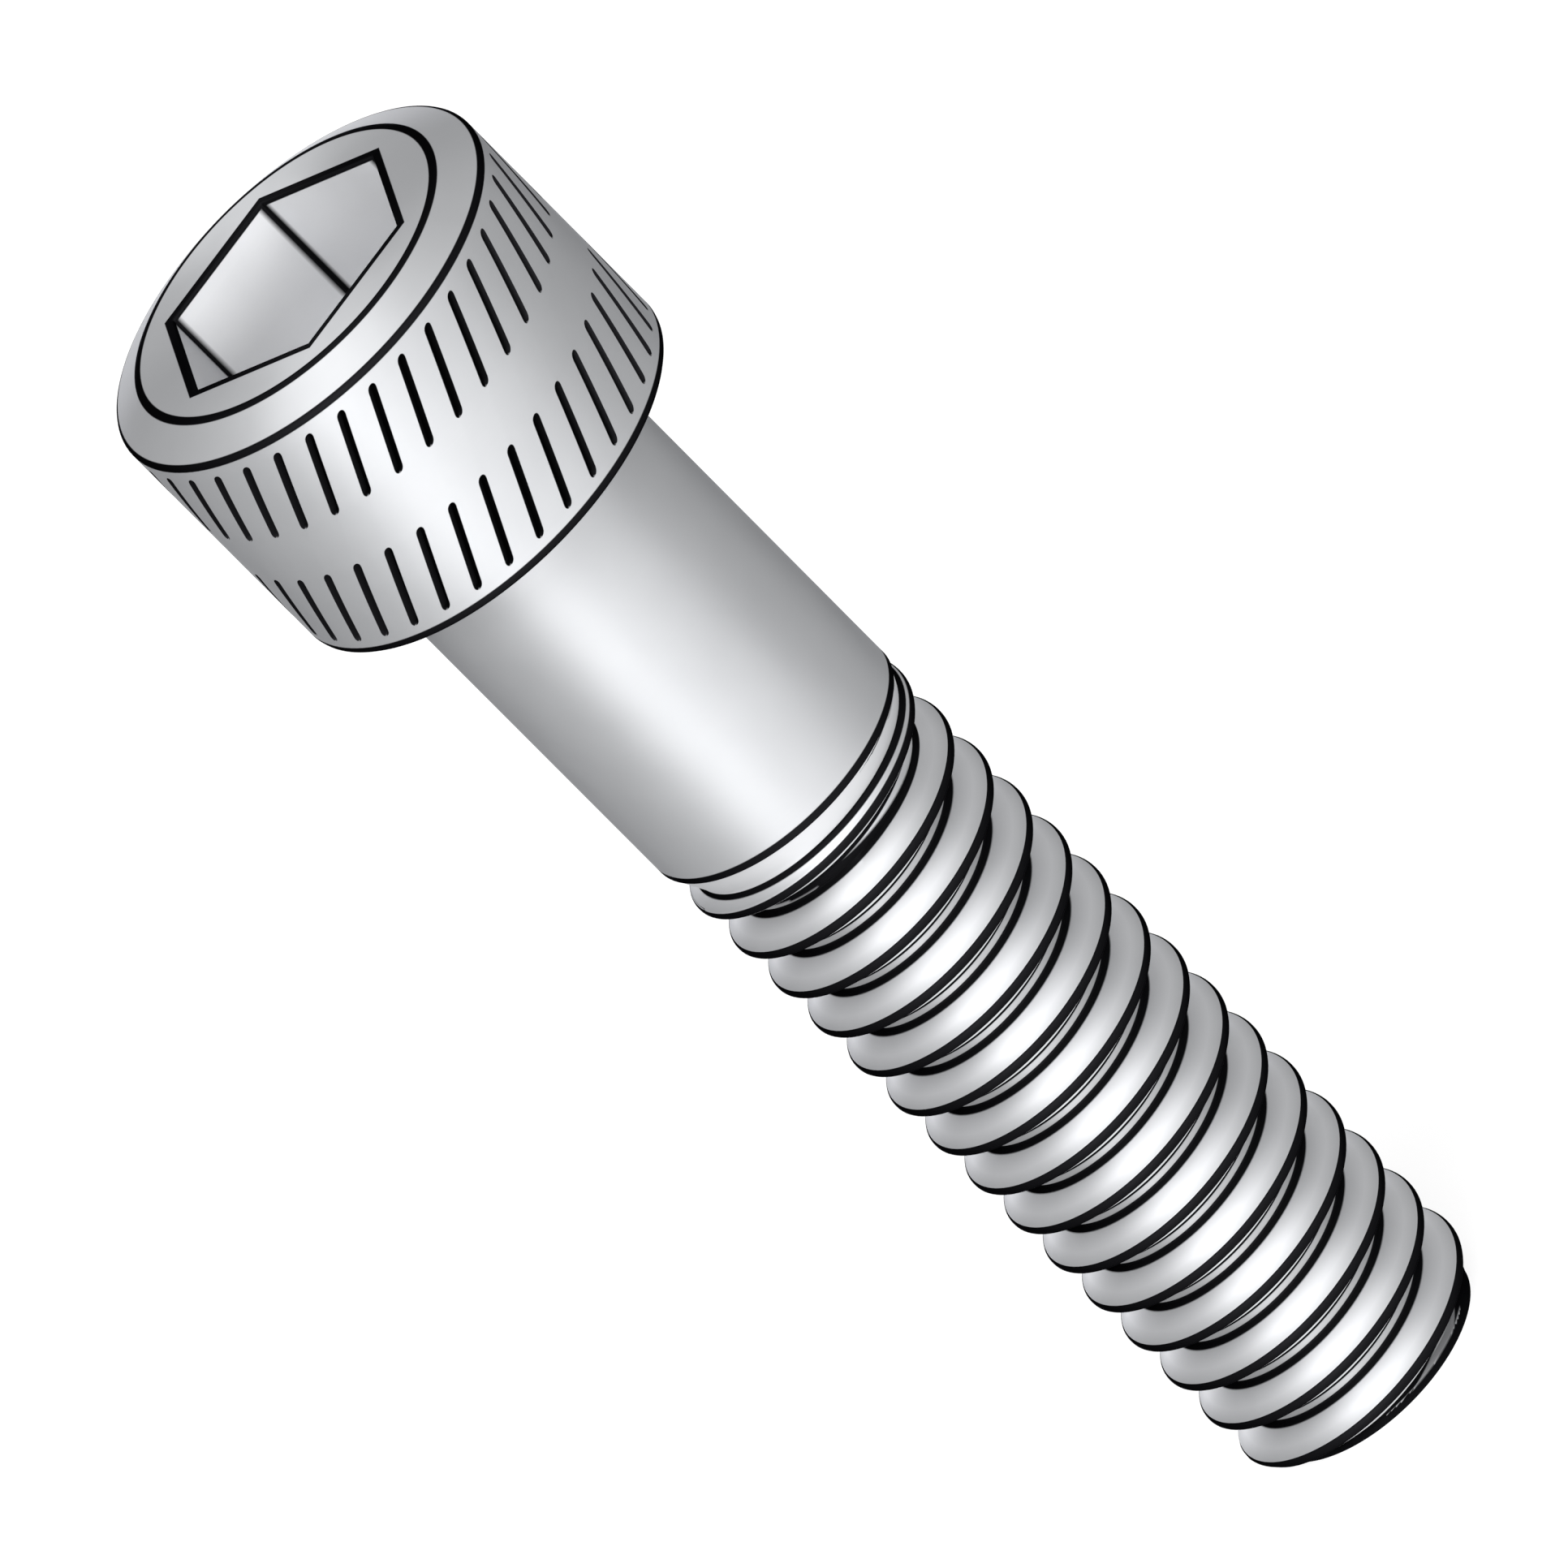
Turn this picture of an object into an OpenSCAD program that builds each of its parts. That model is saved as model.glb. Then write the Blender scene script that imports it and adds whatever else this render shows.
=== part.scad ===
// Hex socket cap screw: a twice-knurled head, a plain body and a coarse right-hand thread.
// Millimetres, +Z up. The screw stands on its flat thread end, and the origin is that end's centre.

/* [Head] */
// Diameter of the head across its knurled side
head_d = 9.525; // [8.9:0.025:11.5]
// Height of the head, from the bearing face to the flat top
head_h = 6.35; // [6.3:0.05:8]
// Diameter of the flat top inside its sloping rim
top_flat_d = 7.7; // [6.8:0.05:8.4]
// Height of the sloping rim round the flat top
rim_h = 0.45; // [0.2:0.05:0.5]
// Radius of the rounded edge round the bearing face
bearing_edge_r = 0.12; // [0.05:0.01:0.25]
// Radius of the fillet between the bearing face and the body
neck_fillet_r = 0.3; // [0.1:0.05:0.5]

/* [Socket] */
// Width of the hex socket across its flats
socket_af = 5.3; // [3.5:0.05:5.6]
// Depth of the socket's six straight walls
socket_depth = 3.3; // [2:0.05:3.8]
// Depth of the shallow cone below the straight walls
socket_cone_h = 0.9; // [0.3:0.05:1.2]
// Width of the ledge between the walls and the cone
socket_ledge_w = 0.15; // [0.05:0.01:0.5]
// Turn of the socket's corners about the axis, in degrees
socket_turn = 17.7; // [0:0.1:60]

/* [Knurl] */
// Grooves round each of the two knurled bands
groove_count = 36; // [24:1:40]
// Lean of the grooves from the direction of the axis, in degrees
groove_lean = 23.5; // [0:0.5:30]
// Width of a groove where it opens on the side of the head
groove_w = 0.2; // [0.15:0.01:0.4]
// Depth of a groove below the side of the head
groove_depth = 0.15; // [0.05:0.01:0.25]
// Height of each knurled band
band_h = 1.95; // [1.2:0.05:1.95]
// Height of the plain strip between the bearing face and the lower band
lower_strip_h = 0.42; // [0.3:0.02:0.44]
// Height of the smooth band between the two knurled ones
smooth_band_h = 1.25; // [0.6:0.05:1.25]
// Place of one groove at the upper band's top, in degrees from -Y
groove_start = 5.8; // [0:0.1:10]

/* [Body] */
// Diameter of the plain body under the head
body_d = 6.35; // [6.35:0.01:6.8]
// Length under the head, from the bearing face to the thread end
screw_len = 28.575; // [20:0.025:45]
// Length of the plain body, from the bearing face to its lower edge
body_len = 9.3; // [3:0.1:14]

/* [Thread] */
// Diameter over the crests of the thread
thread_d = 6.3; // [5.8:0.01:6.3]
// Distance along the axis from one crest to the next
pitch = 1.27; // [0.9:0.01:1.6]
// Length along the axis over which the grooves fade out below the body
runout_len = 1.7; // [0.8:0.1:3]
// Width that the sloping point takes off the thread all round
point_w = 0.3; // [0.2:0.01:0.42]
// Height of the sloping point
point_h = 0.4; // [0.3:0.05:1.2]
// Width of the lip that closes the groove at the end face
end_lip_w = 0.33; // [0.1:0.01:0.4]
// Height over which the groove's floor climbs to that lip
end_lip_h = 0.15; // [0.1:0.01:0.4]
// Turn of the thread about the axis, in degrees
thread_turn = 0; // [-180:5:180]

/* [Hidden] */

// Smoothness of the turned faces
$fn = 96;
// How far a cutter reaches past the face that it opens
cut_over = 0.05;

head_r = head_d / 2;
body_r = body_d / 2;
body_end_z = screw_len - body_len;
bearing_z = screw_len;
top_z = screw_len + head_h;

// The two knurled bands share their grooves' lines, which lean as a right-hand thread does
lower_band_z = bearing_z + lower_strip_h;
upper_band_z = lower_band_z + band_h + smooth_band_h;
groove_turn_per_mm = tan(groove_lean) / head_r * 180 / PI;

// Sixty-degree thread: the depth and the flats follow from the pitch
crest_r = thread_d / 2;
thread_depth = 0.6134 * pitch;
root_r = crest_r - thread_depth;
root_flat = pitch / 6;
crest_flat = pitch / 12;
crest_round_w = 0.06 * pitch;
crest_round_h = 0.05 * pitch;

// The thread's form over one pitch, from the middle of a root: [height, radius] at each bend
crest_start = (pitch - crest_flat) / 2;
crest_end = (pitch + crest_flat) / 2;
form = [
    [root_flat / 2, root_r],
    [crest_start - crest_round_w, crest_r - crest_round_h],
    [crest_start, crest_r],
    [crest_end, crest_r],
    [crest_end + crest_round_w, crest_r - crest_round_h],
    [pitch - root_flat / 2, root_r]
];
bends = len(form);

// The thread is a grid of columns round the axis and rows that climb one pitch a turn.
// Its top end is buried a little way inside the body, and the rows start below the screw's end.
columns = 32;
bury = 0.4;
thread_top_z = body_end_z + bury;
turns_below = 2;
turns = turns_below + ceil(thread_top_z / pitch) + 1;
rows = bends * turns;
start_azimuth = thread_turn - 90;

// Height of a row on a column, and the first and last rows that a column needs
function row_z(column, row) =
    form[row % bends][0] + pitch * (floor(row / bends) - turns_below + column / columns);
first_rows = [
    for (column = [0 : columns - 1])
        max([for (row = [0 : rows - 1]) if (row_z(column, row) <= 0) row])
];
last_rows = [
    for (column = [0 : columns - 1])
        min([for (row = [0 : rows - 1]) if (row_z(column, row) >= thread_top_z) row])
];

// The groove's floor climbs to just under the body's radius, so the body keeps a clear edge
runout_gap = 0.03;
function runout_floor(z) =
    root_r + (crest_r - runout_gap - root_r) * max(0, 1 - max(0, body_end_z - z) / runout_len);

// The slope that rounds off the end of the screw, and the lip that closes the groove there
function point_limit(z) = crest_r - point_w * max(0, 1 - z / point_h);
function lip_floor(z) = root_r + end_lip_w * max(0, 1 - z / end_lip_h);

function form_r(column, z) =
    let (turned = z / pitch - column / columns)
    lookup((turned - floor(turned)) * pitch, form);

function thread_r(column, z) =
    min(point_limit(z), max(runout_floor(z), lip_floor(z), form_r(column, z)));

function thread_point(column, row) =
    let (
        z = min(thread_top_z, max(0, row_z(column, row))),
        r = thread_r(column, z),
        azimuth = start_azimuth + 360 * column / columns
    )
    [r * cos(azimuth), r * sin(azimuth), z];

// A point's number in the grid; past the last column the rows carry on one turn higher
function held_row(column, row) = min(last_rows[column], max(first_rows[column], row));
function corner(column, row) =
    column < columns
        ? column * rows + held_row(column, row)
        : held_row(0, row + bends);

// The two triangles between neighbouring rows and columns, apart from any with no width
function cell(column, row) =
    let (
        a = corner(column, row),
        b = corner(column + 1, row),
        c = corner(column + 1, row + 1),
        d = corner(column, row + 1)
    )
    concat(a == d ? [] : [[a, d, c]], b == c ? [] : [[a, c, b]]);

module head_outline() {
    difference() {
        polygon([
            [0, bearing_z],
            [head_r, bearing_z],
            [head_r, top_z - rim_h],
            [top_flat_d / 2, top_z],
            [0, top_z]
        ]);
        translate([head_r - bearing_edge_r, bearing_z - cut_over])
            square([bearing_edge_r + cut_over, bearing_edge_r + cut_over]);
    }
    translate([head_r - bearing_edge_r, bearing_z + bearing_edge_r])
        circle(r = bearing_edge_r);
}

module body_outline() {
    translate([0, body_end_z])
        square([body_r, body_len + cut_over]);
    difference() {
        translate([body_r - cut_over, bearing_z - neck_fillet_r])
            square([neck_fillet_r + cut_over, neck_fillet_r + cut_over]);
        translate([body_r + neck_fillet_r, bearing_z - neck_fillet_r])
            circle(r = neck_fillet_r);
    }
}

module turned_blank() {
    rotate_extrude() {
        head_outline();
        body_outline();
    }
}

module hex_socket() {
    translate([0, 0, top_z - socket_depth])
        rotate([0, 0, socket_turn])
            cylinder(r = socket_af / sqrt(3), h = socket_depth + cut_over, $fn = 6);
    translate([0, 0, top_z - socket_depth - socket_cone_h])
        cylinder(r1 = 0, r2 = socket_af / 2 - socket_ledge_w, h = socket_cone_h + cut_over);
}

module groove() {
    open_w = groove_w * (groove_depth + cut_over) / groove_depth;
    rotate([-groove_lean, 0, 0])
        linear_extrude(height = band_h / cos(groove_lean), center = true)
            polygon([
                [head_r - groove_depth, 0],
                [head_r + cut_over, -open_w / 2],
                [head_r + cut_over, open_w / 2]
            ]);
}

module knurled_band(band_z) {
    below_top = upper_band_z + band_h / 2 - band_z;
    azimuth = groove_start - 90 - below_top * groove_turn_per_mm;
    translate([0, 0, band_z + band_h / 2])
        for (i = [0 : groove_count - 1])
            rotate([0, 0, azimuth + i * 360 / groove_count])
                groove();
}

module thread() {
    grid = [for (column = [0 : columns - 1]) for (row = [0 : rows - 1]) thread_point(column, row)];
    side = [
        for (column = [0 : columns - 1])
            for (row = [0 : rows - 1])
                each cell(column, row)
    ];
    end_face = [for (column = [0 : columns - 1]) corner(column, 0)];
    buried_face = [for (column = [columns - 1 : -1 : 0]) corner(column, rows)];
    polyhedron(points = grid, faces = concat(side, [end_face, buried_face]), convexity = 10);
}

module cap_screw() {
    color("silver") {
        difference() {
            turned_blank();
            hex_socket();
            knurled_band(lower_band_z);
            knurled_band(upper_band_z);
        }
        thread();
    }
}

cap_screw();
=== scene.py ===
# %% [markdown]
# # A hex socket cap screw, from bar to bright finish
#
# The screw is one piece of steel: a round head with a hex socket and two knurled bands, a plain body,
# and a coarse thread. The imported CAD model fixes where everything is, so it is loaded first and measured.
# Everything after that is looks: a finer mesh, a finish, and a small studio.

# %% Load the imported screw
import math
from collections import namedtuple

import bmesh
import bpy
from mathutils import Matrix, Vector


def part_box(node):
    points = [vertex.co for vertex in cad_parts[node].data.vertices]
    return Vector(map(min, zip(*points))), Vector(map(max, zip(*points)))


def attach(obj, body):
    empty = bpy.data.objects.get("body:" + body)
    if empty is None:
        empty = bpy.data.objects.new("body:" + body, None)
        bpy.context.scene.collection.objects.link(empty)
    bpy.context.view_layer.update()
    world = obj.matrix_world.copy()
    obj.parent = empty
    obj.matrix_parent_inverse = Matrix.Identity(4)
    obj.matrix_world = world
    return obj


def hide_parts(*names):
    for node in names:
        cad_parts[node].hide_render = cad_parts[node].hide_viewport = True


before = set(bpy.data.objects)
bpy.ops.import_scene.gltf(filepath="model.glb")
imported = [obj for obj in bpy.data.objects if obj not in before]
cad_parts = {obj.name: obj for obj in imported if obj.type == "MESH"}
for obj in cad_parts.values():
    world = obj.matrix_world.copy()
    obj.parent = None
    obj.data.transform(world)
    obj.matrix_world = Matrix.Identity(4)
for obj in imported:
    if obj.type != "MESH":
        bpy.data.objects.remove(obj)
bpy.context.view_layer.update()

# %% [markdown]
# ## Sizes
#
# A screw this small is easier to think about in millimetres, so the mesh is built in millimetres and made
# metres in one last step. The head's width and the overall height are read from the frame, so that they
# can't drift from it. The other sizes are the ones that a shop drawing of the screw would carry. Those of
# the knurl and of the thread follow where they are needed.

# %% Name the sizes of the head and the body in millimetres
MM = 0.001
cad_low, cad_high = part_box("cap_screw")
head_r = (cad_high.x - cad_low.x) / 2 / MM
top_z = cad_high.z / MM

screw_len = 28.575
body_len = 9.3
body_r = 3.175
neck_fillet_r = 0.3
bearing_edge_r = 0.12
top_flat_r = 3.85
rim_h = 0.45

bearing_z = screw_len
body_end_z = screw_len - body_len
side_top_z = top_z - rim_h
print(f"head {2 * head_r:.3f} across, {top_z - bearing_z:.3f} high; {screw_len} under the head")

# %% Name the sizes of the socket
socket_across_flats = 5.3
socket_corner_r = socket_across_flats / math.sqrt(3)
socket_depth = 3.3
socket_cone_h = 0.9
socket_cone_r = 2.5
socket_floor_z = top_z - socket_depth
print(f"socket {socket_across_flats} across its flats, {socket_depth} deep and a {socket_cone_h} cone")

# %% [markdown]
# ## Turning the blank
#
# On the real screw the head, the socket and the body are formed and turned round one axis. Cylinders cut
# by one another would give the same sizes, but ragged edges. A spun outline is nearer to the lathe: half
# of the section is drawn once, as a chain of points from the body's lower edge up to the middle of the
# socket, its corners are rounded with a vertex bevel, and the chain is spun round Z.
#
# The chain also carries the first part of the finish: painted shade. The steel's colour is darkened in its
# hollows, where shade falls, and in thin painted dark lines along its turned edges. How much of it lies on
# a point is a number from 0 to 1, kept on the mesh as an attribute. The material reads it later.

# %% A helper that draws a chain of points and rounds its corners
Corner = namedtuple("Corner", "r z rounding film", defaults=(0, 0))

CORNER_STEPS = 3
SUPPORT_GAP = 0.03
GAPS_NEEDED = 5
LINE_FADE = 0.02


def supports(corner):
    """How far from a corner its supports lie, each with the painted shade that it carries."""
    if corner.rounding == 0:
        return []
    reach = corner.rounding + SUPPORT_GAP
    if corner.film:
        return [(reach, 1), (reach + LINE_FADE, 0)]
    return [(reach, 0)]


def with_supports(corners):
    """Adds points just beyond each rounding, so that smooth shading stays within the rounding."""
    chain = [corners[0]]
    for first, second in zip(corners, corners[1:]):
        length = math.hypot(second.r - first.r, second.z - first.z)
        found = supports(first)
        found += [(length - reach, film) for reach, film in reversed(supports(second))]
        if length > first.rounding + second.rounding + GAPS_NEEDED * SUPPORT_GAP:
            for reach, film in found:
                share = reach / length
                r = first.r + (second.r - first.r) * share
                z = first.z + (second.z - first.z) * share
                chain.append(Corner(r, z, film=film))
        chain.append(second)
    return chain


def outline(mesh, corners):
    """Draws the corners as a chain of edges, each rounded by its rounding and given its painted shade."""
    film = mesh.verts.layers.float["film"]
    corners = with_supports(corners)
    points = []
    for corner in corners:
        points.append(mesh.verts.new((corner.r, 0, corner.z)))
        points[-1][film] = corner.film
    for first, second in zip(points, points[1:]):
        mesh.edges.new((first, second))
    for point, corner in zip(points, corners):
        if corner.rounding > 0:
            rounded = bmesh.ops.bevel(
                mesh, geom=[point], offset=corner.rounding, offset_type='OFFSET', segments=CORNER_STEPS,
                profile=0.5, affect='VERTICES', material=-1, clamp_overlap=True
            )["verts"]
            for vert in rounded:
                vert[film] = corner.film


# %% [markdown]
# ## Rings for the knurl
#
# A knurling tool presses its grooves into the finished side. Cutting 72 grooves with a Boolean would be
# slow and would leave a tangled mesh. Here the side gets rings of points at the right heights instead,
# and the grooves are pushed into them later. The rings sit closest together at the two ends of each band,
# where a groove rises out of the steel in a rounded end.

# %% Name the sizes of the two knurled bands
groove_count = 36
band_h = 1.95
smooth_band_h = 1.25
lower_strip_h = 0.42
lower_band_z = bearing_z + lower_strip_h
upper_band_z = lower_band_z + band_h + smooth_band_h
bands = (lower_band_z, upper_band_z)
print(f"two bands of {groove_count} grooves, {band_h} high and {smooth_band_h} apart")

# %% Heights of the rings on the side of the head
GROOVE_END = 0.12
END_STEPS = (0.0, 0.012, 0.035, 0.07, GROOVE_END)
MIDDLE_STEPS = 7
SMOOTH_STEPS = 4


def band_rings(low_z):
    high_z = low_z + band_h
    middle = band_h - 2 * GROOVE_END
    rings = [low_z + step for step in END_STEPS]
    rings += [low_z + GROOVE_END + middle * i / MIDDLE_STEPS for i in range(1, MIDDLE_STEPS)]
    rings += [high_z - step for step in reversed(END_STEPS)]
    return rings


smooth_low_z = lower_band_z + band_h
smooth_rings = [smooth_low_z + smooth_band_h * i / SMOOTH_STEPS for i in range(1, SMOOTH_STEPS)]
side_rings = band_rings(lower_band_z) + smooth_rings + band_rings(upper_band_z)
print(f"{len(side_rings)} rings on the side of the head")

# %% [markdown]
# ## The section
#
# Each turned edge of the real screw is broken by a small rounding, and a painted dark line of painted shade
# lies along it, a tenth or two of a millimetre wide. A line that is wider than its rounding gets two more
# points: one where it ends, and one where it has faded out.

# %% Draw the body's and the side's part of the section
BODY_EDGE_R = 0.02
BODY_LINE_H = 0.18
BEARING_LINE_H = 0.21

section = [
    Corner(body_r - BODY_EDGE_R, body_end_z, film=1),
    Corner(body_r, body_end_z + BODY_EDGE_R, film=1),
    Corner(body_r, body_end_z + BODY_LINE_H, film=1),
    Corner(body_r, body_end_z + BODY_LINE_H + LINE_FADE),
    Corner(body_r, bearing_z, rounding=neck_fillet_r),
    Corner(head_r, bearing_z, rounding=bearing_edge_r, film=1),
    Corner(head_r, bearing_z + BEARING_LINE_H, film=1),
    Corner(head_r, bearing_z + BEARING_LINE_H + LINE_FADE)
]
section += [Corner(head_r, z) for z in side_rings]
print(f"{len(section)} points up to the top of the knurl")

# %% Draw the rim's, the flat top's and the socket's part of the section
RIM_ROUNDING = 0.06
OPENING_ROUNDING = 0.05
FLOOR_ROUNDING = 0.04
OPENING_LINE_W = 0.22

section += [
    Corner(head_r, side_top_z, rounding=RIM_ROUNDING, film=1),
    Corner(top_flat_r, top_z, rounding=RIM_ROUNDING, film=1),
    Corner(socket_corner_r + OPENING_LINE_W + LINE_FADE, top_z),
    Corner(socket_corner_r + OPENING_LINE_W, top_z, film=1),
    Corner(socket_corner_r + OPENING_LINE_W / 2, top_z, film=1),
    Corner(socket_corner_r, top_z, rounding=OPENING_ROUNDING, film=1),
    Corner(socket_corner_r, socket_floor_z, rounding=FLOOR_ROUNDING, film=1),
    Corner(socket_cone_r, socket_floor_z, rounding=FLOOR_ROUNDING, film=1),
    Corner(0, socket_floor_z - socket_cone_h)
]
print(f"{len(section)} points in the whole section")

# %% Spin the section into a turned blank
GROOVE_COLUMNS = 10
HEAD_COLUMNS = GROOVE_COLUMNS * groove_count
FULL_TURN = 2 * math.pi

# Two points nearer than SNAP are one point, and two heights nearer than HAIR are one height
SNAP = 1e-4
HAIR = 1e-3

screw = bmesh.new()
film = screw.verts.layers.float.new("film")
painted_light = screw.verts.layers.float.new("painted_light")
outline(screw, section)
bmesh.ops.spin(
    screw, geom=screw.verts[:] + screw.edges[:], cent=(0, 0, 0), axis=(0, 0, 1),
    angle=FULL_TURN, steps=HEAD_COLUMNS, use_merge=True
)
bmesh.ops.remove_doubles(screw, verts=screw.verts, dist=SNAP)
print(f"turned blank: {len(screw.verts)} points, {len(screw.faces)} faces")

# %% [markdown]
# ## Pressing the knurl
#
# On the real head the grooves lean as a right-hand thread does. The spun rings are turned a little more
# with every step up, so that the columns of points lean too. Ten columns belong to each groove: five of
# them lie across it, and the middle three are pushed inwards. Both bands use the same columns, so a
# groove of the lower band lies on the line of one in the upper band, as when one tool rolls both.

# %% Helpers for angles round the axis
def polar(point):
    return math.hypot(point.x, point.y), math.degrees(math.atan2(point.y, point.x))


def place(vert, radius, azimuth):
    turn = math.radians(azimuth)
    vert.co.x = radius * math.cos(turn)
    vert.co.y = radius * math.sin(turn)


# %% How far each ring is turned
groove_lean = 23.5
groove_start = 5.8
turn_per_mm = math.degrees(math.tan(math.radians(groove_lean)) / head_r)
column_angle = 360 / HEAD_COLUMNS

# The side that faces the camera, in degrees from +X
FRONT = -90
top_turn = groove_start + FRONT


def side_turn(z):
    z = min(max(z, bearing_z), side_top_z)
    return top_turn + turn_per_mm * (z - upper_band_z - band_h)


print(f"the rings turn by {turn_per_mm:.2f} degrees for each millimetre of height")

# %% The form of a groove along its length and across it
groove_w = 0.2
groove_depth = 0.15
groove_angle = 360 / groove_count
half_w_angle = math.degrees(groove_w / 2 / head_r)
print(f"a groove opens over {2 * half_w_angle:.2f} of its {groove_angle:.0f} degrees")

# Degrees of land that keep a groove's edge crisp, and then shares of its full width and depth; from the
# last share on, a groove carries painted shade
EDGE_ANGLE = 0.15
LEAST_W = 0.15
WALL_DEPTH = 0.55
GROOVE_SHADE_FROM = 0.1


def groove_shape(z):
    """How much of its width and depth a groove has at this height: 0 outside the bands."""
    for low_z in bands:
        inside = min(z - low_z, low_z + band_h - z)
        if inside > -SNAP:
            rise = min(1, max(0, inside) / GROOVE_END)
            return math.sqrt(1 - (1 - rise) ** 2)
    return 0


# The three middle columns of a groove are painted dark: painted shade in the groove.
def groove_column(step, share):
    """Offset in degrees, depth and painted shade of one column, counted in steps from the groove's middle.
    """
    half_w = half_w_angle * max(LEAST_W, share)
    land = groove_angle / 2 - half_w
    offset, depth, groove_shade = {
        0: (0, share, 1),
        1: (half_w / 2, WALL_DEPTH * share, 1),
        2: (half_w, 0, 1),
        3: (half_w + EDGE_ANGLE, 0, 0),
        4: (half_w + land / 2, 0, 0),
        5: (groove_angle / 2, 0, 0)
    }[abs(step)]
    return math.copysign(offset, step), depth, groove_shade if share > GROOVE_SHADE_FROM else 0


# %% A point on the side finds its place on the nearest groove
def form_side(vert):
    radius, azimuth = polar(vert.co)
    column = round(azimuth / column_angle)
    nearest = (column + GROOVE_COLUMNS // 2) // GROOVE_COLUMNS
    offset, depth, groove_shade = groove_column(column - GROOVE_COLUMNS * nearest, groove_shape(vert.co.z))
    place(vert, radius - depth * groove_depth, nearest * groove_angle + offset + side_turn(vert.co.z))
    vert[film] = max(vert[film], groove_shade)


# %% [markdown]
# ## Punching the socket
#
# The real socket is punched with a hexagonal tool. A Boolean with a six-sided prism would cut it too, but
# through rings that don't fit its corners. Here the rings are still round, so every point is pulled in
# until it lies on a hexagon, and the flat top stays one clean grid. Painted shade lies in the six corners
# and, thinner, on the bottom.
#
# A second attribute says how much painted light the bare metal gets: its colour is lifted towards a light
# steel in place of light that the lamps don't bring. The socket's walls are painted lighter than the flat
# top, and lightest at the bottom, as in the picture.

# %% Line the columns of points up with the socket's corners
SOCKET_SIDES = 6
SIDE_ANGLE = 360 / SOCKET_SIDES
socket_turn = 17.7
columns_round = round((socket_turn - side_turn(top_z)) / column_angle)
socket_column_turn = socket_turn - columns_round * column_angle
print("socket corners at", [round(socket_turn + SIDE_ANGLE * i, 1) for i in range(SOCKET_SIDES)], "degrees")


def hexagon_radius(azimuth):
    """A hexagon's radius at this angle from one of its corners, as a share of its corner radius."""
    from_middle = math.radians(azimuth % SIDE_ANGLE - SIDE_ANGLE / 2)
    return math.cos(math.radians(SIDE_ANGLE / 2)) / math.cos(from_middle)


def from_corner(azimuth):
    """Degrees to the nearest of the socket's corners."""
    return abs((azimuth - socket_turn + SIDE_ANGLE / 2) % SIDE_ANGLE - SIDE_ANGLE / 2)


# %% A point of the socket moves onto the hexagon
TOP_PAINTED_LIGHT = 0.12
WALL_PAINTED_LIGHT = 0.5
CORNER_COLUMNS = 2.5
SOCKET_FLOOR_SHADE = 0.5
CONE_MARGIN = 0.1
cone_reach = socket_cone_r + CONE_MARGIN


def form_socket(vert):
    radius, azimuth = polar(vert.co)
    azimuth += socket_column_turn
    on_wall = radius > cone_reach
    if on_wall:
        radius *= hexagon_radius(azimuth - socket_turn)
    place(vert, radius, azimuth)
    # Painted light: the flat top a little, the walls more, and most at the bottom
    vert[painted_light] = TOP_PAINTED_LIGHT
    if vert.co.z < top_z - OPENING_ROUNDING:
        depth = (top_z - vert.co.z) / socket_depth
        vert[painted_light] = WALL_PAINTED_LIGHT + (1 - WALL_PAINTED_LIGHT) * depth
        # Painted shade in the socket's six corners
        vert[film] = max(vert[film], min(1, CORNER_COLUMNS - from_corner(azimuth) / column_angle))
    if not on_wall:
        vert[film] = SOCKET_FLOOR_SHADE


# %% Form every ring of the head
RIM_PAINTED_LIGHT_FROM = 0.01
socket_reach = socket_corner_r + OPENING_LINE_W + 2 * LINE_FADE

for vert in screw.verts:
    radius, azimuth = polar(vert.co)
    if vert.co.z > bearing_z + bearing_edge_r and radius < socket_reach:
        form_socket(vert)
    elif radius > head_r - SNAP:
        form_side(vert)
    else:
        place(vert, radius, azimuth + side_turn(vert.co.z))
        # The rim and the flat top get the same painted light
        if vert.co.z > side_top_z + RIM_PAINTED_LIGHT_FROM:
            vert[painted_light] = TOP_PAINTED_LIGHT
print(f"{sum(vert[film] > 0 for vert in screw.verts)} of the head's points carry some film")

# %% [markdown]
# ## Rolling the thread
#
# A thread is one outline carried round the axis while it climbs. A Screw modifier could do that, and so
# can spin, when it is given a rise for each step. Spin is used here, because what it makes stays in the
# bmesh, where the points are moved and painted next. One turn is swept, copied up the screw a pitch at a
# time, and merged where the copies meet.
#
# A painted dark line runs along the middle of the crest. Painted shade lies in the two corners of the root
# as well, and a lighter painted shade on the root's middle. The flanks get painted light, more than the
# crest. A third attribute, "rise", keeps the height of a point above the root in millimetres, so that the
# material can paint shade on the foot of each flank up to an exact height.

# %% Name the sizes of the thread
DEPTH_SHARE = 0.6134
pitch = 1.27
crest_r = 3.15
thread_depth = DEPTH_SHARE * pitch
root_r = crest_r - thread_depth
root_flat = pitch / 6
crest_flat = pitch / 8
print(f"thread {2 * crest_r} over the crests, {2 * root_r:.2f} over the roots, pitch {pitch}")

# %% Draw one pitch of the thread's form
ROOT_MIDDLE = 0.058
ROOT_MIDDLE_EDGE = 0.012
ROOT_ROUNDING = 0.02
CREST_ROUNDING = 0.05
FLANK_CUTS = 2

thread = bmesh.new()
thread_painted_shade = thread.verts.layers.float.new("film")
thread_painted_light = thread.verts.layers.float.new("painted_light")
thread_rise = thread.verts.layers.float.new("rise")

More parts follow.
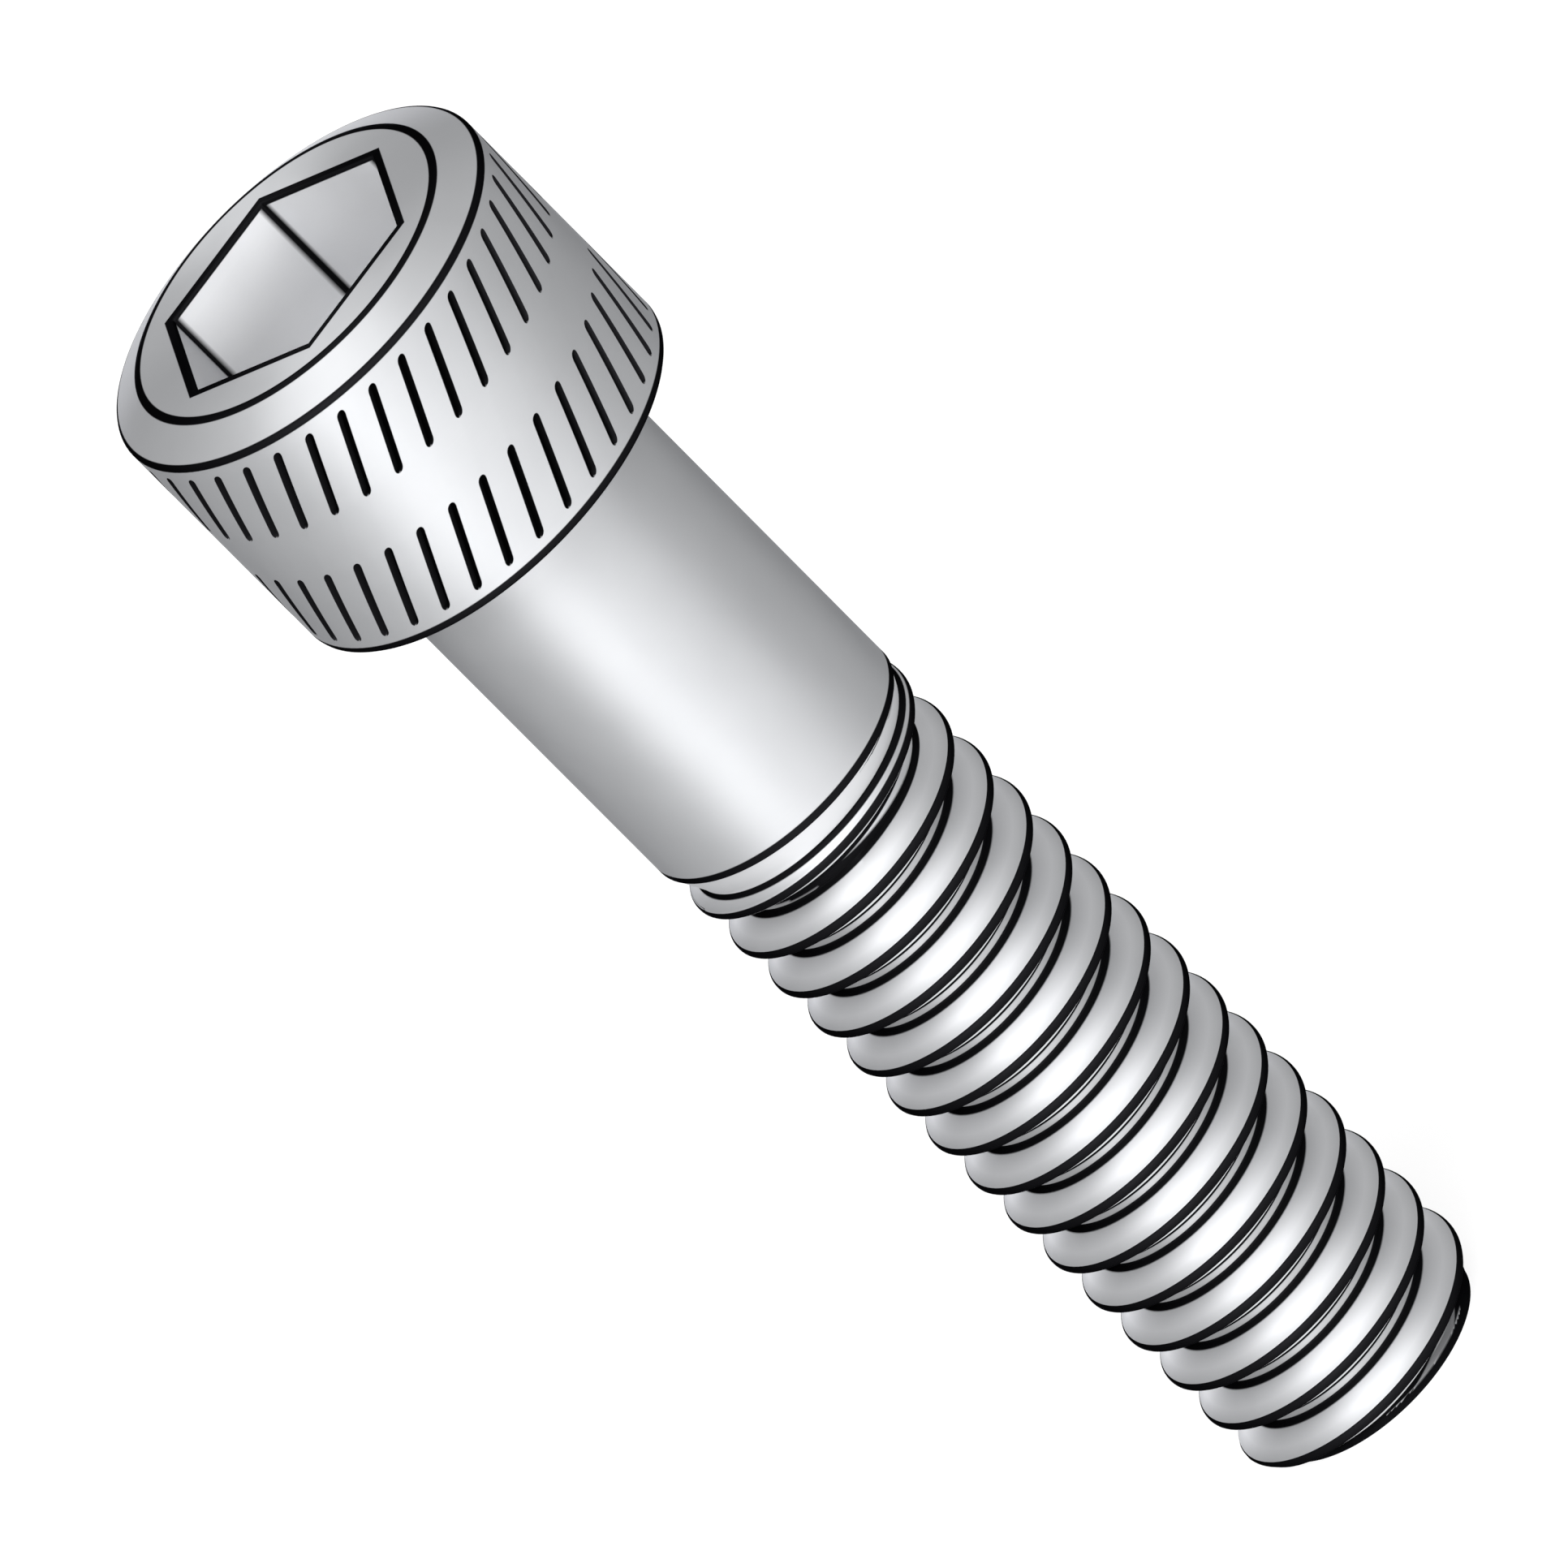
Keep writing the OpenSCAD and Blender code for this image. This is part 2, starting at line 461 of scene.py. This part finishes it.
lower_half = [
    Corner(root_r, 0),
    Corner(root_r, ROOT_MIDDLE),
    Corner(root_r, ROOT_MIDDLE + ROOT_MIDDLE_EDGE),
    Corner(root_r, root_flat / 2, rounding=ROOT_ROUNDING),
    Corner(crest_r, (pitch - crest_flat) / 2, rounding=CREST_ROUNDING)
]
upper_half = [corner._replace(z=pitch - corner.z) for corner in reversed(lower_half)]
outline(thread, lower_half + upper_half)
flanks = [edge for edge in thread.edges if edge.calc_length() > pitch / 4]
bmesh.ops.subdivide_edges(thread, edges=flanks, cuts=FLANK_CUTS)
print(f"one pitch has {len(thread.edges)} steps")

# %% Paint the dark line on the crest, the shade in the root's corners and the light on the flanks
CREST_LINE_DEPTH = 0.05
CREST_GAP_DEPTH = 0.08
ROOT_SHADE = 0.35
CREST_DEPTH = 0.1
CREST_PAINTED_LIGHT = 0.11
FLANK_PAINTED_LIGHT = 0.37

for vert in thread.verts:
    below_crest = crest_r - vert.co.x
    from_middle = min(vert.co.z, pitch - vert.co.z)
    vert[thread_rise] = 0 if below_crest < CREST_LINE_DEPTH else vert.co.x - root_r
    vert[thread_painted_shade] = 0 if CREST_LINE_DEPTH < below_crest < CREST_GAP_DEPTH else 1
    if from_middle < ROOT_MIDDLE + HAIR:
        vert[thread_painted_shade] = ROOT_SHADE
    # Painted light: the flanks are painted lighter than the crest
    vert[thread_painted_light] = CREST_PAINTED_LIGHT if below_crest < CREST_DEPTH else FLANK_PAINTED_LIGHT
print(f"{sum(vert[thread_painted_shade] == 1 for vert in thread.verts)} of {len(thread.verts)} points are dark")

# %% Sweep one turn and copy it up the screw
THREAD_COLUMNS = 120
TURNS_BELOW = 2
turn_count = TURNS_BELOW + math.ceil(body_end_z / pitch) + 1

start = Matrix.Rotation(math.radians(FRONT), 4, 'Z')
bmesh.ops.transform(thread, matrix=start, verts=thread.verts)
bmesh.ops.translate(thread, vec=(0, 0, -TURNS_BELOW * pitch), verts=thread.verts)
bmesh.ops.spin(
    thread, geom=thread.verts[:] + thread.edges[:], cent=(0, 0, 0), axis=(0, 0, 1),
    dvec=(0, 0, pitch / THREAD_COLUMNS), angle=FULL_TURN, steps=THREAD_COLUMNS
)
one_turn = thread.verts[:] + thread.edges[:] + thread.faces[:]
for i in range(1, turn_count):
    copy = bmesh.ops.duplicate(thread, geom=one_turn)
    copied = [part for part in copy["geom"] if isinstance(part, bmesh.types.BMVert)]
    bmesh.ops.translate(thread, vec=(0, 0, i * pitch), verts=copied)
bmesh.ops.remove_doubles(thread, verts=thread.verts, dist=HAIR)
print(f"{turn_count} turns: {len(thread.verts)} points, {len(thread.faces)} faces")

# %% [markdown]
# ## The two ends of the thread
#
# A plane cuts the thread square at the end of the screw and at the body. More cuts, which only add points,
# mark the heights where a slope or a line of painted shade starts.
#
# The end of the screw is sloped so that it finds its hole, and at the body the grooves fade out, because
# rolling dies are tapered at their ends. Both could be turned and subtracted, but they are no more than
# limits on the radius: the slope from above, and the groove's climbing floor from below.

# %% Name the sizes of the two ends
runout_len = 1.7
point_w = 0.3
point_h = 0.4
end_lip_w = 0.33
end_lip_h = 0.15
print(f"the point slopes over {point_h}, and the grooves fade over {runout_len}")

# %% Cut it square at both ends, and mark where the slopes start
END_LINE_W = 0.07


def cut_across(mesh, height, keep_above=None):
    bmesh.ops.bisect_plane(
        mesh, geom=mesh.verts[:] + mesh.edges[:] + mesh.faces[:], dist=SNAP,
        plane_co=(0, 0, height), plane_no=(0, 0, 1),
        clear_inner=keep_above is True, clear_outer=keep_above is False
    )


cut_across(thread, 0, keep_above=True)
cut_across(thread, body_end_z, keep_above=False)
for height in (END_LINE_W, END_LINE_W + LINE_FADE, end_lip_h, point_h):
    cut_across(thread, height)
print(f"cut to length: {len(thread.verts)} points")

# %% Limits on the radius, and what they do to the painted shade
THIN_CREST_LINE_FROM = 0.3
THIN_CREST_LINE_DEPTH = 0.022
POINT_DEPTH = 0.03
ROOT_BAND = 0.01
RUNOUT_FROM = 0.02


def point_limit(z):
    return crest_r - point_w * max(0, 1 - z / point_h)


def runout_floor(z):
    return root_r + thread_depth * max(0, 1 - (body_end_z - z) / runout_len)


def lip_floor(z):
    return root_r + end_lip_w * max(0, 1 - z / end_lip_h)


def repaint(vert, swept_r, formed_r, raised):
    """Moves the painted shade up with the groove's floor, and narrows the crest's painted dark line where
    the floor nears it.
    """
    below_crest = crest_r - swept_r
    if raised > THIN_CREST_LINE_FROM and THIN_CREST_LINE_DEPTH < below_crest < CREST_GAP_DEPTH:
        vert[thread_rise] = swept_r - root_r
        vert[thread_painted_shade] = 0 if below_crest < CREST_LINE_DEPTH else 1
    if vert[thread_rise] > 0 or formed_r < crest_r - POINT_DEPTH:
        if vert[thread_rise] < ROOT_BAND and runout_floor(vert.co.z) > root_r + RUNOUT_FROM:
            vert[thread_painted_shade] = 1
        vert[thread_rise] -= raised


# %% Slope the point, fade the grooves into the body and paint a dark line round the end's edge
for vert in thread.verts:
    swept_r, azimuth = polar(vert.co)
    floor_r = max(runout_floor(vert.co.z), lip_floor(vert.co.z))
    formed_r = min(point_limit(vert.co.z), max(floor_r, swept_r))
    place(vert, formed_r, azimuth)
    repaint(vert, swept_r, formed_r, floor_r - root_r)
    if vert.co.z < END_LINE_W + HAIR:
        vert[thread_painted_shade] = 1
        vert[thread_rise] = 0
print(f"the end is {2 * point_limit(0):.2f} across")

# %% [markdown]
# ## One closed solid
#
# The thread joins the blank: the ring of points round its top is bridged to the ring round the body's
# lower edge, and the end of the screw is closed with one flat face, which is inset to end the line round
# it. Two meshes pushed into each other would look the same, but a closed mesh with its faces outwards is
# what a printer, a slicer or a path tracer expects of a solid thing.

# %% Bring the thread into the screw's mesh and bridge it to the body
def edges_at(mesh, height):
    return [
        edge for edge in mesh.edges
        if edge.is_boundary and all(abs(vert.co.z - height) < HAIR for vert in edge.verts)
    ]


swept = bpy.data.meshes.new("swept_thread")
thread.to_mesh(swept)
thread.free()
screw.from_mesh(swept)
bpy.data.meshes.remove(swept)
bmesh.ops.bridge_loops(screw, edges=edges_at(screw, body_end_z))
print(f"joined: {len(screw.faces)} faces")

# %% Close the end of the screw
end_face = bmesh.ops.contextual_create(screw, geom=edges_at(screw, 0))["faces"]
for width in (END_LINE_W, LINE_FADE):
    bmesh.ops.inset_region(screw, faces=end_face, thickness=width, use_even_offset=True)
film = screw.verts.layers.float["film"]
for vert in end_face[0].verts:
    vert[film] = 0
bmesh.ops.recalc_face_normals(screw, faces=screw.faces)
open_edges = [edge for edge in screw.edges if not edge.is_manifold]
print(f"screw: {len(screw.faces)} faces, {len(open_edges)} open edges")

# %% Keep an edge crisp where its faces meet steeply, and where the body ends
CRISP_ANGLE = math.radians(32)
for face in screw.faces:
    face.smooth = True
for edge in screw.edges:
    at_body_end = all(abs(vert.co.z - body_end_z) < HAIR for vert in edge.verts)
    edge.smooth = edge.calc_face_angle(0) < CRISP_ANGLE and not at_body_end
print(f"{sum(not edge.smooth for edge in screw.edges)} crisp edges")

# %% Make it metres and hand it to Blender
bmesh.ops.scale(screw, vec=(MM, MM, MM), verts=screw.verts)
mesh = bpy.data.meshes.new("finished_screw")
screw.to_mesh(mesh)
screw.free()
finished = bpy.data.objects.new("finished_screw", mesh)
bpy.context.scene.collection.objects.link(finished)
print(f"{finished.name}: {sum(len(face.vertices) - 2 for face in mesh.polygons)} triangles")

# %% [markdown]
# ## The finish
#
# The finish has two layers in one material: bare steel with painted light, and painted shade over it. A
# painted image could hold both, but it would need an unwrapped mesh, and its dots would show close up.
# Nodes stay sharp at any size. The small kit below makes a node and joins its inputs in one line.

# %% A small kit for wiring shader nodes
class Wiring:
    """Makes nodes in one tree and joins them, so that a recipe reads from top to bottom."""

    def __init__(self, tree):
        self.tree = tree
        self.column = 0

    def feed(self, socket, value):
        if isinstance(value, bpy.types.NodeSocket):
            self.tree.links.new(value, socket)
        else:
            socket.default_value = value

    def node(self, kind, settings=None, **inputs):
        made = self.tree.nodes.new(kind)
        made.location = (200 * self.column, 0)
        self.column += 1
        for name, value in (settings or {}).items():
            setattr(made, name, value)
        for name, value in inputs.items():
            self.feed(made.inputs[name.replace("_", " ")], value)
        return made

    def maths(self, operation, *values):
        made = self.node("ShaderNodeMath", {"operation": operation})
        for socket, value in zip(made.inputs, values):
            self.feed(socket, value)
        return made.outputs[0]

    def attribute(self, name):
        return self.node("ShaderNodeAttribute", {"attribute_name": name}).outputs["Fac"]

    def noise(self, place_on, scale, detail):
        scaled = self.node("ShaderNodeMapping", Vector=place_on, Scale=scale).outputs["Vector"]
        return self.node("ShaderNodeTexNoise", Vector=scaled, Scale=1.0, Detail=detail).outputs["Fac"]

    def mix(self, share, first, second):
        made = self.node("ShaderNodeMix", {"data_type": 'RGBA'})
        colours = [socket for socket in made.inputs if socket.type == 'RGBA']
        self.feed(made.inputs["Factor"], share)
        self.feed(colours[0], first)
        self.feed(colours[1], second)
        return next(socket for socket in made.outputs if socket.type == 'RGBA')


def new_material(name):
    material = bpy.data.materials.new(name)
    material.use_nodes = True
    material.node_tree.nodes.clear()
    return material, Wiring(material.node_tree)


# %% [markdown]
# ## The painted shade
#
# Every point of the mesh knows how much painted shade it carries. On the thread's long flanks the points
# are too far apart for a fine line, so the line is cut off by height there: the attribute "rise" is the
# height above the groove's floor, and the painted shade fades out between two levels of it. Along the dark
# line of the crest and all over the head the rise is 0, and the painted shade shows as the points carry it.

# %% Where the painted shade lies
SHADE_H = 0.12
SHADE_FADED_H = 0.15
print(f"on a flank the film fades out from {SHADE_H} to {SHADE_FADED_H} above the groove's floor")


def painted_shade_share(wire):
    """The painted shade that a point carries, faded out where the point is high above the groove's floor.
    """
    from_floor = wire.maths('ABSOLUTE', wire.attribute("rise"))
    near = wire.node(
        "ShaderNodeMapRange", Value=from_floor,
        From_Min=SHADE_H, From_Max=SHADE_FADED_H, To_Min=1.0, To_Max=0.0
    )
    return wire.maths('MULTIPLY', wire.attribute("film"), near.outputs["Result"])


# %% [markdown]
# ## The bare steel
#
# Bright steel is a metal with a fine directional grain. On a turned part the grain runs round the axis,
# so the highlights stretch along it. A very fine bump alone could do that, but it flickers when the part
# is small in the picture. The shader's own anisotropy is steadier, with a tangent that runs round Z, and
# only a slight bump is left for the turning marks.
#
# Handling leaves soft clouds in the tone and in the roughness. They come from one noise, so that a
# lighter spot is also a rougher one. A grey specular tint keeps the steel from turning white where it is
# seen at a slant. The patterns' scales are for metres, because Object coordinates are in metres.

# %% Bright turned steel
DULL_STEEL = (0.368, 0.373, 0.383, 1)
# The light steel that the painted light lifts the colour towards
PAINTED_LIGHT_STEEL = (0.88, 0.885, 0.9, 1)
# The colour of the painted shade
PAINTED_SHADE_COLOUR = (0.008, 0.008, 0.009, 1)
CLOUD_SCALE = (500, 500, 350)
CLOUD_TONE = 0.14
CLOUD_ROUGHNESS = 0.1
LEAST_ROUGHNESS = 0.55
GRAIN_SCALE = (300, 300, 14000)
GRAIN_DEPTH = 0.00002
SLANT_TINT = (0.2, 0.2, 0.21, 1)


def bright_steel():
    material, wire = new_material("bright_turned_steel")
    place_on = wire.node("ShaderNodeTexCoord").outputs["Object"]
    cloud = wire.noise(place_on, CLOUD_SCALE, detail=3.0)
    # The tone is the painted light with a random cloud added
    tone = wire.maths('MULTIPLY_ADD', cloud, CLOUD_TONE, wire.attribute("painted_light"))
    roughness = wire.maths('MULTIPLY_ADD', cloud, CLOUD_ROUGHNESS, LEAST_ROUGHNESS)
    metal = wire.mix(tone, DULL_STEEL, PAINTED_LIGHT_STEEL)
    # Painted shade over the metal
    colour = wire.mix(painted_shade_share(wire), metal, PAINTED_SHADE_COLOUR)
    grain = wire.noise(place_on, GRAIN_SCALE, detail=2.0)
    bump = wire.node("ShaderNodeBump", Height=grain, Strength=0.1, Distance=GRAIN_DEPTH)
    around = wire.node("ShaderNodeTangent", {"direction_type": 'RADIAL', "axis": 'Z'})
    shader = wire.node(
        "ShaderNodeBsdfPrincipled", Base_Color=colour, Metallic=1.0, Roughness=roughness,
        Anisotropic=0.6, Anisotropic_Rotation=0.25, Specular_Tint=SLANT_TINT,
        Normal=bump.outputs["Normal"], Tangent=around.outputs["Tangent"]
    )
    wire.node("ShaderNodeOutputMaterial", Surface=shader.outputs["BSDF"])
    return material


finished.data.materials.append(bright_steel())
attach(finished, "root")
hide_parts("cap_screw")
print(f"{finished.data.materials[0].name}: {len(finished.data.materials[0].node_tree.nodes)} nodes")

# %% [markdown]
# ## The floor
#
# A catalogue picture shows its object on white. More light would give white too, but it would wash the
# steel out. So the floor is painted grey and glows only when it is looked at: a Light Path node tells
# whether the camera, a reflection or a look through glass meets the floor, and only then is a glow added.
# The paint still darkens where the screw keeps the light off, so the screw keeps its shadow.

# %% A pale floor
FLOOR_HALF = 3.0
FLOOR_PAINT = (0.3, 0.3, 0.3, 1)
FLOOR_GLOW = 0.75
WHITE = (1, 1, 1, 1)


def looked_at(wire):
    """1 for a ray from the camera, a reflection or a look through glass, and 0 for light on its way."""
    ray = wire.node("ShaderNodeLightPath").outputs
    direct = wire.maths('MAXIMUM', ray["Is Camera Ray"], ray["Is Glossy Ray"])
    return wire.maths('MAXIMUM', direct, ray["Is Transmission Ray"])


def pale_floor():
    """White to look at from above, and clear from below, so that the screw's end can be seen."""
    material, wire = new_material("pale_floor")
    glow_level = wire.maths('MULTIPLY', looked_at(wire), FLOOR_GLOW)
    paint = wire.node("ShaderNodeBsdfDiffuse", Color=FLOOR_PAINT)
    glow = wire.node("ShaderNodeEmission", Color=WHITE, Strength=glow_level)
    both = wire.node("ShaderNodeAddShader")
    wire.feed(both.inputs[0], paint.outputs["BSDF"])
    wire.feed(both.inputs[1], glow.outputs["Emission"])
    clear = wire.node("ShaderNodeBsdfTransparent")
    from_below = wire.node("ShaderNodeNewGeometry").outputs["Backfacing"]
    shown = wire.node("ShaderNodeMixShader", Fac=from_below)
    wire.feed(shown.inputs[1], both.outputs[0])
    wire.feed(shown.inputs[2], clear.outputs[0])
    wire.node("ShaderNodeOutputMaterial", Surface=shown.outputs["Shader"])
    return material


ground = bmesh.new()
bmesh.ops.create_grid(ground, x_segments=1, y_segments=1, size=FLOOR_HALF)
floor_mesh = bpy.data.meshes.new("floor")
ground.to_mesh(floor_mesh)
ground.free()
floor_mesh.materials.append(pale_floor())
floor = bpy.data.objects.new("floor", floor_mesh)
bpy.context.scene.collection.objects.link(floor)
print(f"floor {2 * FLOOR_HALF} m square")

# %% [markdown]
# ## The lamps
#
# Round steel shows its lamps as stripes along its length. One soft lamp high at the front left makes the
# broad stripe, and a smaller one below it carries the stripe down the body. A long low one fills the
# front, and a small one behind keeps the back from going dull.

# %% Four soft lamps
def soft_lamp(name, azimuth, elevation, distance, width, height, power):
    """A rectangular lamp that faces the middle of the screw from the given side."""
    lamp = bpy.data.lights.new(name, 'AREA')
    lamp.shape = 'RECTANGLE'
    lamp.size = width
    lamp.size_y = height
    lamp.energy = power
    holder = bpy.data.objects.new(name, lamp)
    turn, tip = math.radians(azimuth), math.radians(elevation)
    away = Vector((math.cos(turn) * math.cos(tip), math.sin(turn) * math.cos(tip), math.sin(tip)))
    middle = Vector((0, 0, top_z * MM / 2))
    holder.location = middle + away * distance
    holder.rotation_mode = 'QUATERNION'
    holder.rotation_quaternion = away.to_track_quat('Z', 'Y')
    bpy.context.scene.collection.objects.link(holder)
    print(f"{name}: {power} W, {width} by {height} m")


soft_lamp("high_front", azimuth=-112, elevation=55, distance=0.5, width=0.6, height=0.25, power=2.15)
soft_lamp("low_left", azimuth=-118, elevation=14, distance=0.45, width=0.2, height=0.16, power=1.0)
soft_lamp("low_front", azimuth=-88, elevation=14, distance=0.5, width=1.1, height=0.16, power=3.3)
soft_lamp("low_back", azimuth=90, elevation=0, distance=0.2, width=0.12, height=0.02, power=0.3)

# %% [markdown]
# ## The room round it
#
# The world is a plain grey room for the light that it sends, and white for whoever looks at it, by the
# same test as the floor's. So the steel reflects a white room, and is lit by a quiet grey one.

# %% A plain world
ROOM_LIGHT = (0.4, 0.4, 0.4, 1)


def plain_world():
    world = bpy.data.worlds.new("studio")
    world.use_nodes = True
    world.node_tree.nodes.clear()
    wire = Wiring(world.node_tree)
    room = wire.node("ShaderNodeBackground", Color=ROOM_LIGHT, Strength=1.0)
    backdrop = wire.node("ShaderNodeBackground", Color=WHITE, Strength=1.0)
    shown = wire.node("ShaderNodeMixShader", Fac=looked_at(wire))
    wire.feed(shown.inputs[1], room.outputs[0])
    wire.feed(shown.inputs[2], backdrop.outputs[0])
    wire.node("ShaderNodeOutputWorld", Surface=shown.outputs["Shader"])
    bpy.context.scene.world = world
    print(f"{world.name}: {len(world.node_tree.nodes)} nodes")


plain_world()

# %% [markdown]
# ## The camera
#
# The picture shows the screw in near-parallel projection from 27 degrees above, turned 45 degrees in the
# frame. An orthographic camera would give that view too, but a very long lens a good way off keeps the
# slight nearness of a real photograph. Two points of the picture, the middle of the head's top and the
# middle of the thread's end, fix its turn, scale and aim.

# %% Work out the camera from two points of the picture
PICTURE_W = 1932
HEAD_MIDDLE_PX = Vector((352, 338))
END_MIDDLE_PX = Vector((1687, 1677))
CAMERA_ELEVATION = 27
CAMERA_DISTANCE = 1.3
SENSOR_W = 36

up = math.radians(CAMERA_ELEVATION)
along_px = END_MIDDLE_PX - HEAD_MIDDLE_PX
metres_per_px = top_z * MM * math.cos(up) / along_px.length
roll = math.atan2(along_px.x, along_px.y)
nearness = top_z * MM / 2 * math.sin(up) / CAMERA_DISTANCE
middle_px = (HEAD_MIDDLE_PX + END_MIDDLE_PX) / 2 + along_px / 2 * nearness / 2
print(f"{MM / metres_per_px:.2f} px to the millimetre, rolled {math.degrees(roll):.1f} degrees")

# %% Directions of the picture's edges, and the point that the camera aims at
back = Vector((0, -math.cos(up), math.sin(up)))
level_up = Vector((0, math.sin(up), math.cos(up)))
level_right = Vector((1, 0, 0))
picture_right = level_right * math.cos(roll) - level_up * math.sin(roll)
picture_up = level_right * math.sin(roll) + level_up * math.cos(roll)
to_centre = Vector((PICTURE_W / 2, PICTURE_W / 2)) - middle_px
aim = Vector((0, 0, top_z * MM / 2))
aim += (picture_right * to_centre.x - picture_up * to_centre.y) * metres_per_px
print("aim in metres:", [round(v, 4) for v in aim])

# %% Place the camera
camera_data = bpy.data.cameras.new("camera")
camera_data.sensor_width = SENSOR_W
camera_data.lens = SENSOR_W * CAMERA_DISTANCE / (PICTURE_W * metres_per_px)
camera_data.clip_start = 0.01
camera_data.clip_end = 20
camera = bpy.data.objects.new("camera", camera_data)
turned = Matrix((picture_right, picture_up, back)).transposed().to_4x4()
camera.matrix_world = Matrix.Translation(aim + back * CAMERA_DISTANCE) @ turned
bpy.context.scene.collection.objects.link(camera)
bpy.context.scene.camera = camera
bpy.context.scene.view_settings.view_transform = 'Standard'
print(f"{camera_data.lens:.0f} mm lens, {CAMERA_DISTANCE} m away")
